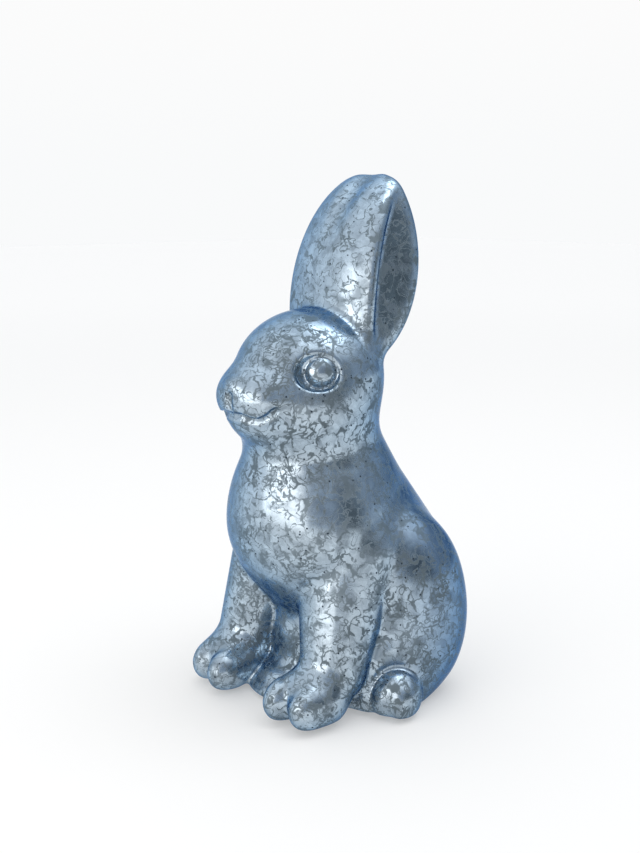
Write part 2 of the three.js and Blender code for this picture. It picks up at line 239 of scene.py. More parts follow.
def cord(path: list[Triple], radius: float, taper: float = 0.999) -> Form:
    """A round cord along a path.

    Args:
        path: The points it runs through.
        radius: Its radius all along.
        taper: How much of its radius each stretch keeps.

    Returns:
        The cord's form.
    """
    radii = (radius, radius * taper)
    return merge(radius, *[Limb(start, end, radii) for start, end in zip(path, path[1:])])


def drawn_onto(form: Form, points: Array, steps: int) -> Array:
    """Points moved onto a form's surface along the steepest way.

    Args:
        form: The form whose surface is wanted.
        points: Rows of points near it.
        steps: How many times each point is moved.

    Returns:
        The moved points.
    """
    probe, least_slope = 0.02, 0.5
    for _ in range(steps):
        here = form(points)
        slope = np.column_stack([form(points + probe * axis) - here for axis in np.eye(3)]) / probe
        steepness = np.maximum((slope**2).sum(axis=1), least_slope**2)
        points = points - slope * (here / steepness)[:, None]
    return points


# Meshes and objects


def finished_bmesh(shape: bmesh.types.BMesh, name: str) -> bpy.types.Mesh:
    """Turns a bmesh into a mesh and frees it.

    Args:
        shape: The bmesh.
        name: The mesh's name.

    Returns:
        The new mesh.
    """
    mesh = bpy.data.meshes.new(name)
    shape.to_mesh(mesh)
    shape.free()
    return mesh


def finished_mesh(piece: bpy.types.Object) -> bpy.types.Mesh:
    """A copy of an object's mesh with its modifiers applied."""
    return bpy.data.meshes.new_from_object(piece.evaluated_get(bpy.context.evaluated_depsgraph_get()))


def new_piece(name: str, data: bpy.types.ID) -> bpy.types.Object:
    """Puts a mesh, light or camera into the scene as an object at the origin.

    Args:
        name: The object's name.
        data: What it shows.

    Returns:
        The new object.
    """
    piece = bpy.data.objects.new(name, data)
    bpy.context.scene.collection.objects.link(piece)
    return piece


# The rabbit's masses, as in the part's source


@dataclass(frozen=True)
class Torso:
    """Chest, back, belly, neck, haunches and tail."""

    chest: Ball = Ball((0, -12, 66), (34.5, 29, 31))
    back: Limb = Limb((0, -4, 96), (0, 12.5, 45), (18.5, 35.5))
    belly: Ball = Ball((0, 4, 20), (30, 27, 36))
    neck: Limb = Limb((0, -10.5, 84), (0, -11, 106), (25.5, 20.5))
    apron: Ball = Ball((0, -16, 0), (24, 19, 12))
    haunch: Ball = Ball((30.5, 15.5, 33), (17.5, 22.8, 36), pitch=8)
    hip: Ball = Ball((30, 0, 4), (14, 15.5, 24))
    tail: Ball = Ball((0, 37.5, 19), (12.5, 11, 12.5))
    blend: float = 12
    belly_crease: float = 4
    haunch_blend: float = 12
    apron_blend: float = 6
    tail_crease: float = 5

    def form(self) -> Form:
        """Joins the torso's masses.

        Returns:
            The torso's field.
        """
        trunk = merge(self.belly_crease, merge(self.blend, self.chest, self.back, self.neck), self.belly)
        with_apron = merge(self.apron_blend, trunk, self.apron)
        with_haunches = merge(self.haunch_blend, with_apron, both_sides(self.haunch), both_sides(self.hip))
        return merge(self.tail_crease, with_haunches, self.tail)


@dataclass(frozen=True)
class Legs:
    """Front legs with their paws, and hind feet."""

    leg: Limb = Limb((18.5, -7.5, 58), (25, -21.5, 17), (19.5, 12.3))
    paw: Ball = Ball((24, -30, 8.5), (13.5, 12.5, 11.5))
    inner_toe: Ball = Ball((17, -37.2, 7.2), (6.4, 10.3, 8.6))
    outer_toe: Ball = Ball((29.2, -35.6, 7.2), (6.6, 10, 8.6))
    hind_foot: Ball = Ball((40, -3.5, 6), (9.5, 9.5, 10.5))
    hind_inner_toe: Ball = Ball((39, -8, 5), (5, 5.6, 7.6))
    hind_outer_toe: Ball = Ball((45.6, -5.4, 5), (4, 5.6, 7.4))
    foot_socket: Ball = Ball((47, -10.6, 10), (10, 15.5, 19), yaw=-32)
    foot_socket_edge: float = 1.5
    paw_blend: float = 4
    toe_crease: float = 1.6

    def front(self) -> Form:
        """The front legs' field."""
        paw = merge(self.toe_crease, self.paw, self.inner_toe, self.outer_toe)
        return both_sides(merge(self.paw_blend, self.leg, paw))

    def hind(self) -> Form:
        """The hind feet's field."""
        return both_sides(merge(self.toe_crease, self.hind_foot, self.hind_inner_toe, self.hind_outer_toe))


@dataclass(frozen=True)
class Head:
    """Skull, cheeks, muzzle, nose, mouth and eyes."""

    cranium: Ball = Ball((0, -8, 122), (26.5, 24, 24))
    snout: Limb = Limb((0, -19, 121), (0, -36, 117), (22, 12.5))
    cheek: Ball = Ball((12, -20, 112), (13, 15, 12))
    muzzle: Ball = Ball((7, -36.3, 117), (9, 9.6, 8.5))
    chin: Ball = Ball((0, -34, 108.3), (12.5, 9.8, 7.5))
    nose: Ball = Ball((0, -44.8, 121.2), (5.8, 4.2, 4.2))
    eyeball: Ball = Ball((17, -21, 126.2), (6.6, 6.6, 6.6))
    socket: Ball = Ball((21.5, -26.1, 127), (4.8, 8.2, 7), yaw=-30)
    blend: float = 10
    muzzle_blend: float = 7
    chin_blend: float = 6
    mouth_crease: float = 1
    nose_crease: float = 1.2
    socket_edge: float = 1.6
    eye_crease: float = 0.6
    mouth: tuple[Triple, ...] = (
        (0, -47.9, 111.2),
        (4.7, -47.5, 111.4),
        (7.4, -45.7, 110.3),
        (10.2, -43.5, 110.1),
        (13.5, -42.1, 111.8),
        (16.1, -40.6, 114.5),
    )
    mouth_radius: float = 1.1
    mouth_edge: float = 0.8
    lip_split: tuple[Triple, ...] = ((0, -48.6, 118.6), (0, -48.6, 111.2))
    split_radius: float = 0.7
    split_edge: float = 2.5

    def form(self) -> Form:
        """Joins the head's masses and cuts its mouth and eye sockets.

        Returns:
            The head's field.
        """
        skull = merge(self.blend, self.cranium, self.snout, both_sides(self.cheek))
        jaw = merge(self.chin_blend, skull, self.chin)
        muzzle = merge(self.muzzle_blend, skull, both_sides(self.muzzle))
        face = merge(self.nose_crease, merge(self.mouth_crease, jaw, muzzle), self.nose)
        split = carve(self.split_edge, face, cord(list(self.lip_split), self.split_radius))
        mouthed = carve(self.mouth_edge, split, both_sides(cord(traced(face, self.mouth), self.mouth_radius)))
        socketed = carve(self.socket_edge, mouthed, both_sides(self.socket))
        return merge(self.eye_crease, socketed, both_sides(self.eyeball))


@dataclass(frozen=True)
class Ears:
    """Both ears as one upright leaf, folded at the middle of its tip and hollowed from each side."""

    front: Ball = Ball((0, 22, 148.5), (41.8, 28.5, 49.5), pitch=-7.5)
    back: Ball = Ball((0, -4.2, 167), (40, 34, 46.5), pitch=1.5)
    sides: Ball = Ball((0, 15, 148), (24, 90, 58.6))
    fold: Limb = Limb((0, -11.5, 169), (0, 17, 202), (1, 4.5))
    front_rim: float = 1.2
    front_slope: float = 0.85
    back_rim: float = 0.6
    back_slope: float = 0.35
    edge: float = 3.5
    fold_edge: float = 6
    groove: float = 1.5
    hollow_edge: float = 2

    def form(self) -> Form:
        """Cuts the leaf out of its three balls, then its fold and hollows out of the leaf.

        Returns:
            The ears' field.
        """
        leaf = common(self.edge, self.front, self.back, self.sides)
        folded = carve(self.fold_edge, leaf, self.fold)
        flank = lean(self.front_slope, self.sides, self.front, self.front_rim)
        floor = lean(self.back_slope, self.sides, self.back, self.back_rim)
        return carve(self.hollow_edge, folded, common(self.groove, flank, floor))


@dataclass(frozen=True)
class Underside:
    """The flat ground ring, the punt pressed up inside it and the blow hole."""

    ground_round: float = 2
    punt_radius: float = 20
    punt_depth: float = 3.4
    punt_edge: float = 0.6
    hole_radius: float = 12
    hole_top: float = 15.5
    hole_facets: int = 96

    def punt(self) -> Form:
        """The flat-topped cone, sloping at 45 degrees, that the punt takes out of the glass.

        Returns:
            The punt's field.
        """

        def distance(points: Array) -> Array:
            """Measures from the punt.

            Args:
                points: Rows of points.

            Returns:
                The distance of each point.
            """
            across = np.hypot(points[:, 0], points[:, 1])
            height = points[:, 2]
            slant = (across + height - self.punt_radius) * math.sqrt(0.5)
            return np.maximum(slant, height - self.punt_depth)

        return distance

    def drill(self) -> bpy.types.Mesh:
        """The round bar that the blow hole takes out of the glass.

        Returns:
            Its mesh, in millimetres.
        """
        bar = bmesh.new()
        bmesh.ops.create_cone(
            bar,
            cap_ends=True,
            segments=self.hole_facets,
            radius1=self.hole_radius,
            radius2=self.hole_radius,
            depth=self.hole_top,
            matrix=Matrix.Translation((0.0, 0.0, self.hole_top / 2.0)),
        )
        return finished_bmesh(bar, "drill")


# Finishes


NOISE_MIDDLE = 0.5


class Slot(Enum):
    """The record's material slots."""

    GLASS = "silvered_glass"
    PLASTIC = "stopper_plastic"
    FELT = "felt"


class Effect(Enum):
    """The effects that finishes share, by the names of their node groups."""

    WARP = "warp"
    GRAIN = "grain"


def opaque(colour: Triple) -> tuple[float, float, float, float]:
    """A colour with full alpha, as sockets take it."""
    return (*colour, 1.0)


class Nodes:
    """Short calls for adding and joining the nodes of one tree."""

    def __init__(self, tree: bpy.types.NodeTree) -> None:
        """Keeps the tree that nodes go into."""
        self.tree = tree

    def feed(self, node: bpy.types.Node, inputs: Inputs) -> None:
        """Sets or links some of a node's inputs.

        Args:
            node: The node or shader.
            inputs: Values or sockets for its inputs, by name or number.
        """
        for name, value in inputs.items():
            if isinstance(value, Socket):
                self.tree.links.new(value, node.inputs[name])
            else:
                node.inputs[name].default_value = value

    def add(self, kind: str, inputs: Inputs | None = None, **settings: object) -> Outputs:
        """Adds one node.

        Args:
            kind: The node's type, without its ShaderNode prefix.
            inputs: Values or sockets for its inputs, by name or number.
            settings: Values for its own options.

        Returns:
            The new node's outputs.
        """
        node = self.tree.nodes.new("ShaderNode" + kind)
        for name, value in settings.items():
            setattr(node, name, value)
        self.feed(node, inputs or {})
        return node.outputs

    def math(self, operation: str, *values: object) -> Socket:
        """One step of arithmetic on sockets or numbers."""
        return self.add("Math", dict(enumerate(values)), operation=operation)[0]

    def times(self, one: object, other: object) -> Socket:
        """The product of two values."""
        return self.math("MULTIPLY", one, other)

    def less(self, one: object, other: object) -> Socket:
        """One value less another."""
        return self.math("SUBTRACT", one, other)

    def most(self, *values: object) -> Socket:
        """The greatest of some values.

        Args:
            values: Sockets or numbers.

        Returns:
            The greatest.
        """
        greatest = values[0]
        for value in values[1:]:
            greatest = self.math("MAXIMUM", greatest, value)
        return greatest

    def ramp(self, value: object, low: object, high: object) -> Socket:
        """A smooth step from 0 at the low value to 1 at the high one."""
        inputs = {"Value": value, "From Min": low, "From Max": high}
        return self.add("MapRange", inputs, interpolation_type="SMOOTHSTEP")["Result"]

    def blend(self, share: object, one: object, other: object) -> Socket:
        """A mix of two colours."""
        return self.add("Mix", {0: share, 6: one, 7: other}, data_type="RGBA")[2]

    def between(self, share: object, one: object, other: object) -> Socket:
        """A mix of two numbers."""
        return self.add("Mix", {0: share, 2: one, 3: other}, data_type="FLOAT")[0]

    def channel(self, colour: object, number: int) -> Socket:
        """One of a colour's three parts."""
        return self.add("SeparateColor", {0: colour})[number]

    def vector(self, operation: str, inputs: Inputs) -> Socket:
        """One step of arithmetic on vectors that gives a vector."""
        return self.add("VectorMath", inputs, operation=operation)["Vector"]

    def measure(self, operation: str, inputs: Inputs) -> Socket:
        """One step of arithmetic on vectors that gives a number."""
        return self.add("VectorMath", inputs, operation=operation)["Value"]

    def noise(self, place: object, scale: object, detail: object = 2.0) -> Outputs:
        """Noise at a scale given in repeats per millimetre."""
        return self.add("TexNoise", {"Vector": place, "Scale": scale, "Detail": detail})

    def clouds(self, place: object, scale: object, detail: object) -> Socket:
        """Noise as a number, at a scale given in repeats per millimetre."""
        return self.noise(place, scale, detail)["Fac"]

    def cells(self, place: object, size: float, feature: str) -> Outputs:
        """A pattern of cells of a size given in millimetres."""
        return self.add("TexVoronoi", {"Vector": place, "Scale": 1.0 / size}, feature=feature)

    def shared(self, effect: Effect, inputs: Inputs) -> Outputs:
        """Places the node group of a shared effect."""
        return self.add("Group", inputs, node_tree=bpy.data.node_groups[effect.value])

    def shifted(self, place: object, scale: float, reach: float) -> Socket:
        """Places pushed about by noise of some repeats per millimetre, as far as a reach in millimetres."""
        return self.shared(Effect.WARP, {"Place": place, "Scale": scale, "Reach": reach})["Place"]

    def grained(self, place: object, noise: Pair, strength: float, height: float) -> Outputs:
        """A noise as a value and as the normal that it tilts, with its height in metres."""
        inputs = {"Place": place, "Scale": noise[0], "Detail": noise[1], "Strength": strength, "Height": height}
        return self.shared(Effect.GRAIN, inputs)

    def millimetres(self) -> Socket:
        """Object coordinates in millimetres."""
        return self.vector("SCALE", {0: self.add("TexCoord")["Object"], "Scale": 1.0 / MM})


def new_material(name: str) -> tuple[bpy.types.Material, Nodes, bpy.types.Node]:
    """Starts a node material.

    Args:
        name: The material's name.

    Returns:
        The material, its nodes and its Principled shader.
    """
    material = bpy.data.materials.new(name)
    material.use_nodes = True
    return material, Nodes(material.node_tree), material.node_tree.nodes["Principled BSDF"]


def new_group(effect: Effect, ins: dict[str, str], outs: dict[str, str]) -> tuple[Nodes, Outputs, bpy.types.Node]:
    """Starts the node group of a shared effect.

    Args:
        effect: The effect.
        ins: The kind of each input, by name.
        outs: The kind of each output, by name.

    Returns:
        The group's nodes, the sockets that give its inputs, and the node that takes its outputs.
    """
    tree = bpy.data.node_groups.new(effect.value, "ShaderNodeTree")
    for way, sockets in (("INPUT", ins), ("OUTPUT", outs)):
        for name, kind in sockets.items():
            tree.interface.new_socket(name, in_out=way, socket_type="NodeSocket" + kind)
    return Nodes(tree), tree.nodes.new("NodeGroupInput").outputs, tree.nodes.new("NodeGroupOutput")


class Effects:
    """Node groups for what more than one finish uses, each built once."""

    def warp(self) -> None:
        """Builds the group that pushes places about by noise."""
        ins = {"Place": "Vector", "Scale": "Float", "Reach": "Float"}
        nodes, given, result = new_group(Effect.WARP, ins, {"Place": "Vector"})
        middle = (NOISE_MIDDLE, NOISE_MIDDLE, NOISE_MIDDLE)
        push = nodes.vector("SUBTRACT", {0: nodes.noise(given["Place"], given["Scale"])["Color"], 1: middle})
        far = nodes.vector("SCALE", {0: push, "Scale": nodes.times(given["Reach"], 2.0)})
        nodes.feed(result, {"Place": nodes.vector("ADD", {0: given["Place"], 1: far})})

    def grain(self) -> None:
        """Builds the group that gives a noise as a value and as a tilted normal."""
        ins = {"Place": "Vector"} | dict.fromkeys(("Scale", "Detail", "Strength", "Height"), "Float")
        nodes, given, result = new_group(Effect.GRAIN, ins, {"Value": "Float", "Normal": "Vector"})
        value = nodes.clouds(given["Place"], given["Scale"], given["Detail"])
        tilt = {"Strength": given["Strength"], "Distance": given["Height"], "Height": value}
        nodes.feed(result, {"Value": value, "Normal": nodes.add("Bump", tilt)["Normal"]})

    def build(self) -> None:
        """Builds both groups."""
        self.warp()
        self.grain()


@dataclass(frozen=True)
class Places:
    """Places in millimetres: plain, pushed about widely, pushed about finely too, and divided into islands."""

    plain: Socket
    broad: Socket
    curled: Socket
    islands: Outputs


@dataclass(frozen=True)
class Crackle:
    """The pattern of a silver film that has broken into islands.

    A warp is its repeats per millimetre and its reach in millimetres, a noise its repeats per millimetre and its
    detail, and a span the two values that a smooth step runs between.
    """

    island: float = 4.4
    pebble: float = 2.6
    bubble: float = 3.4
    broad_warp: Pair = (0.10, 3.0)
    curl_warp: Pair = (0.3, 1.8)
    ripple_warp: Pair = (0.8, 0.55)
    spread_noise: Pair = (0.13, 2.0)
    spread_span: Pair = (0.28, 0.58)
    patch_noise: Pair = (0.07, 2.0)
    patch_span: Pair = (0.5, 0.62)
    broken_noise: Pair = (0.3, 1.0)
    broken_span: Pair = (0.36, 0.58)
    fresh_noise: Pair = (0.05, 2.0)
    fresh_span: Pair = (0.38, 0.6)
    fresh_strength: Pair = (0.72, 1.0)
    bare_heights: Pair = (140.0, 162.0)
    bare_share: float = 0.14
    island_gap: Pair = (-0.045, 0.075)
    pebble_gap: Pair = (-0.06, 0.05)
    seam_outside: float = 0.06
    seam_inside: float = 0.02
    corner_spread: float = 0.3
    corner_span: Pair = (0.6, 0.72)
    hair_noise: Pair = (0.2, 1.5)
    hair_span: Pair = (0.022, 0.0088)
    thin_strength: float = 0.9
    ring_radius: float = 0.34
    ring_span: Pair = (0.075, 0.03)
    ring_choice: Pair = (0.84, 0.88)

    def seams(self, nodes: Nodes, place: object, size: float, width: object) -> Socket:
        """Gaps between cells, of a width given as a share of a cell.

        Args:
            nodes: The tree to add to.
            place: Places in millimetres.
            size: The cells' size in millimetres.
            width: How wide the gaps are. Below zero they close.

        Returns:
            1 in the gaps and 0 on the cells.
        """
        away = nodes.cells(place, size, "DISTANCE_TO_EDGE")["Distance"]
        return nodes.ramp(away, nodes.math("ADD", width, self.seam_outside), nodes.less(width, self.seam_inside))

    def hairlines(self, nodes: Nodes, place: object) -> Socket:
        """Curly lines where a noise crosses its middle."""
        away = nodes.math("ABSOLUTE", nodes.less(nodes.clouds(place, *self.hair_noise), NOISE_MIDDLE))
        return nodes.ramp(away, *self.hair_span)

    def bubbles(self, nodes: Nodes, place: object) -> Socket:
        """Thin rings scattered over the film.

        Args:
            nodes: The tree to add to.
            place: Places in millimetres.

        Returns:
            1 on the rings and 0 off them.
        """
        rims = nodes.cells(place, self.bubble, "F1")
        ring = nodes.math("ABSOLUTE", nodes.less(rims["Distance"], self.ring_radius))
        few = nodes.ramp(nodes.channel(rims["Color"], 0), *self.ring_choice)
        return nodes.times(nodes.ramp(ring, *self.ring_span), few)

    def places(self, nodes: Nodes) -> Places:
        """Pushes places about so that gaps curl, and divides them into islands.

        Args:
            nodes: The tree to add to.

        Returns:
            The places.
        """
        plain = nodes.millimetres()
        broad = nodes.shifted(plain, *self.broad_warp)
        curled = nodes.shifted(nodes.shifted(broad, *self.curl_warp), *self.ripple_warp)
        return Places(plain, broad, curled, nodes.cells(curled, self.island, "F1"))

    def lines(self, nodes: Nodes, places: Places) -> Socket:
        """All that the film leaves open: gaps, corners, hairlines and rings.

        Args:
            nodes: The tree to add to.
            places: The places.

        Returns:
            1 where the film is gone and 0 where it is whole.
        """
        place, curled = places.plain, places.curled
        height = nodes.add("SeparateXYZ", {0: place})["Z"]
        bare = nodes.times(nodes.ramp(height, *self.bare_heights), self.bare_share)
        spread = nodes.less(nodes.clouds(place, *self.spread_noise), bare)
        patch = nodes.less(nodes.clouds(place, *self.patch_noise), bare)
        broken = nodes.ramp(nodes.clouds(place, *self.broken_noise), *self.broken_span)
        wide = nodes.between(nodes.times(nodes.ramp(spread, *self.spread_span), broken), *self.island_gap)
        close = nodes.between(nodes.ramp(patch, *self.patch_span), *self.pebble_gap)
        network = nodes.most(
            self.seams(nodes, curled, self.island, wide),
            self.seams(nodes, curled, self.pebble, close),
        )
        thin = nodes.most(self.hairlines(nodes, curled), self.bubbles(nodes, places.broad))
        away = nodes.less(places.islands["Distance"], nodes.times(spread, self.corner_spread))
        corner = nodes.ramp(away, *self.corner_span)
        fresh = nodes.ramp(nodes.clouds(place, *self.fresh_noise), *self.fresh_span)
        gone = nodes.most(network, nodes.times(thin, self.thin_strength), corner)
        return nodes.times(gone, nodes.between(fresh, *self.fresh_strength))


@dataclass(frozen=True)
class MercuryGlass:
    """Silver film broken into islands, seen through a satin blue lacquer, with painted shade that darkens and blues
    the lower back.

    Noises and spans are given as for the crackle. Metallic and roughness run from worn silver to clean.
    """

    crackle: Crackle = Crackle()
    silver: Triple = (0.45, 0.45, 0.455)
    pale: Triple = (0.74, 0.735, 0.73)
    worn: Triple = (0.27, 0.275, 0.28)
    gap: Triple = (0.2, 0.203, 0.193)
    speck: Triple = (0.04, 0.045, 0.05)
    lacquer: Triple = (0.08, 0.2, 0.42)
    edge_tint: Triple = (0.26, 0.40, 0.55)
    coat_tint: Triple = (0.72, 0.86, 0.98)
    # Painted shade: the film's colour is darkened and blued over the lower back, between these depths and heights.
    painted_shade_tint: Triple = (0.5, 0.61, 0.75)
    painted_shade_depths: Pair = (-12.0, 24.0)
    painted_shade_heights: Pair = (142.0, 100.0)
    mottle_noise: Pair = (0.4, 3.0)
    mottle_span: Pair = (0.3, 0.7)
    mottle_share: float = 0.5
    haze_noise: Pair = (0.14, 4.0)
    haze_span: Pair = (0.48, 0.68)
    haze_strength: float = 0.7
    haze_wear: float = 0.6
    grain: float = 1.8
    grain_choice: Pair = (0.84, 0.86)
    grain_span: Pair = (0.24, 0.16)
    metallic: Pair = (0.15, 1.0)
    roughness: Pair = (0.45, 0.2)
    sheen: float = 0.15
    sheen_roughness: float = 0.5
    coat_index: float = 1.05
    coat_roughness: float = 0.2
    wave_noise: Pair = (0.07, 1.0)
    wave_strength: float = 0.25
    wave_height: float = 0.0008

    def film(self, nodes: Nodes, places: Places, haze: object) -> Socket:
        """The colour of the silver where it is whole, with painted shade darkening and blueing the lower back.

        Args:
            nodes: The tree to add to.
            places: The crackle's places.
            haze: How far the silver has dulled.

        Returns:
            The silver's colour under the lacquer, with the painted shade on the lower back.
        """
        own = nodes.channel(places.islands["Color"], 1)
        mottle = nodes.ramp(nodes.clouds(places.curled, *self.mottle_noise), *self.mottle_span)
        tone = nodes.between(self.mottle_share, own, mottle)
        silver = nodes.blend(tone, opaque(self.silver), opaque(self.pale))
        dulled = nodes.blend(haze, silver, opaque(self.worn))
        # Painted shade: the colour gets darker and bluer towards the back and towards the bottom.
        along = nodes.add("SeparateXYZ", {0: places.plain})
        behind, below = nodes.ramp(along["Y"], *self.painted_shade_depths), nodes.ramp(along["Z"], *self.painted_shade_heights)
        painted_shade = nodes.vector("MULTIPLY", {0: dulled, 1: self.painted_shade_tint})
        return nodes.blend(nodes.times(behind, below), dulled, painted_shade)

    def specks(self, nodes: Nodes, place: object) -> Socket:
        """Small dark dots.

        Args:
            nodes: The tree to add to.
            place: Places in millimetres.

        Returns:
            1 on the dots and 0 off them.
        """
        dots = nodes.cells(place, self.grain, "F1")
        chosen = nodes.ramp(nodes.channel(dots["Color"], 0), *self.grain_choice)
        return nodes.times(chosen, nodes.ramp(dots["Distance"], *self.grain_span))

    def material(self) -> bpy.types.Material:
        """Builds the finish.

        Returns:
            The node material.
        """
        material, nodes, shader = new_material("mercury_glass")
        places = self.crackle.places(nodes)
        lines = self.crackle.lines(nodes, places)
        haze = nodes.ramp(nodes.clouds(places.curled, *self.haze_noise), *self.haze_span)
        haze = nodes.times(haze, self.haze_strength)
        speck = self.specks(nodes, places.plain)
        colour = nodes.blend(lines, self.film(nodes, places, haze), opaque(self.gap))
        clean = nodes.less(1.0, nodes.most(lines, nodes.times(haze, self.haze_wear), speck))
        wave = nodes.grained(places.plain, self.wave_noise, self.wave_strength, self.wave_height)
        nodes.feed(shader, {
            "Base Color": nodes.blend(speck, colour, opaque(self.speck)),
            "Metallic": nodes.between(clean, *self.metallic),
            "Roughness": nodes.between(clean, *self.roughness),
            "Specular Tint": opaque(self.edge_tint),
            "Sheen Weight": self.sheen,
            "Sheen Roughness": self.sheen_roughness,
            "Sheen Tint": opaque(self.lacquer),
            "Coat Weight": 1.0,
            "Coat IOR": self.coat_index,
            "Coat Roughness": self.coat_roughness,
            "Coat Tint": opaque(self.coat_tint),
            "Normal": wave["Normal"],
        })
        return material


@dataclass(frozen=True)
class MattePlastic:
    """Moulded grey plastic with a faint grain."""

    colour: Triple = (0.62, 0.64, 0.65)
    shade: float = 0.86
    roughness: Pair = (0.45, 0.65)
    mottle_noise: Pair = (0.4, 3.0)
    grain_noise: Pair = (3.0, 2.0)
    grain_strength: float = 0.2
    grain_height: float = 0.0001

    def material(self) -> bpy.types.Material:
        """Builds the finish.

        Returns:
            The node material.
        """
        material, nodes, shader = new_material(Slot.PLASTIC.value)
        place = nodes.millimetres()
        mottle = nodes.clouds(place, *self.mottle_noise)
        dark = tuple(self.shade * part for part in self.colour)
        grain = nodes.grained(place, self.grain_noise, self.grain_strength, self.grain_height)
        nodes.feed(shader, {
            "Base Color": nodes.blend(mottle, opaque(dark), opaque(self.colour)),
            "Roughness": nodes.between(mottle, *self.roughness),
            "Normal": grain["Normal"],
        })
        return material


@dataclass(frozen=True)
class Felt:
    """Dark pressed felt with loose fibres."""

    colour: Triple = (0.035, 0.037, 0.042)
    fibre: Triple = (0.09, 0.093, 0.1)
    roughness: float = 0.95
    sheen: float = 0.4
    strand_warp: Pair = (0.8, 1.0)
    strand_noise: Pair = (2.5, 5.0)
    strand_span: Pair = (0.45, 0.7)
    strand_strength: float = 0.6
    strand_height: float = 0.0003

    def material(self) -> bpy.types.Material:
        """Builds the finish.

        Returns:
            The node material.
        """
        material, nodes, shader = new_material(Slot.FELT.value)
        place = nodes.shifted(nodes.millimetres(), *self.strand_warp)
        strands = nodes.grained(place, self.strand_noise, self.strand_strength, self.strand_height)
        share = nodes.ramp(strands["Value"], *self.strand_span)
        nodes.feed(shader, {
            "Base Color": nodes.blend(share, opaque(self.colour), opaque(self.fibre)),
            "Roughness": self.roughness,
            "Sheen Weight": self.sheen,
            "Normal": strands["Normal"],
        })
        return material


# Pieces


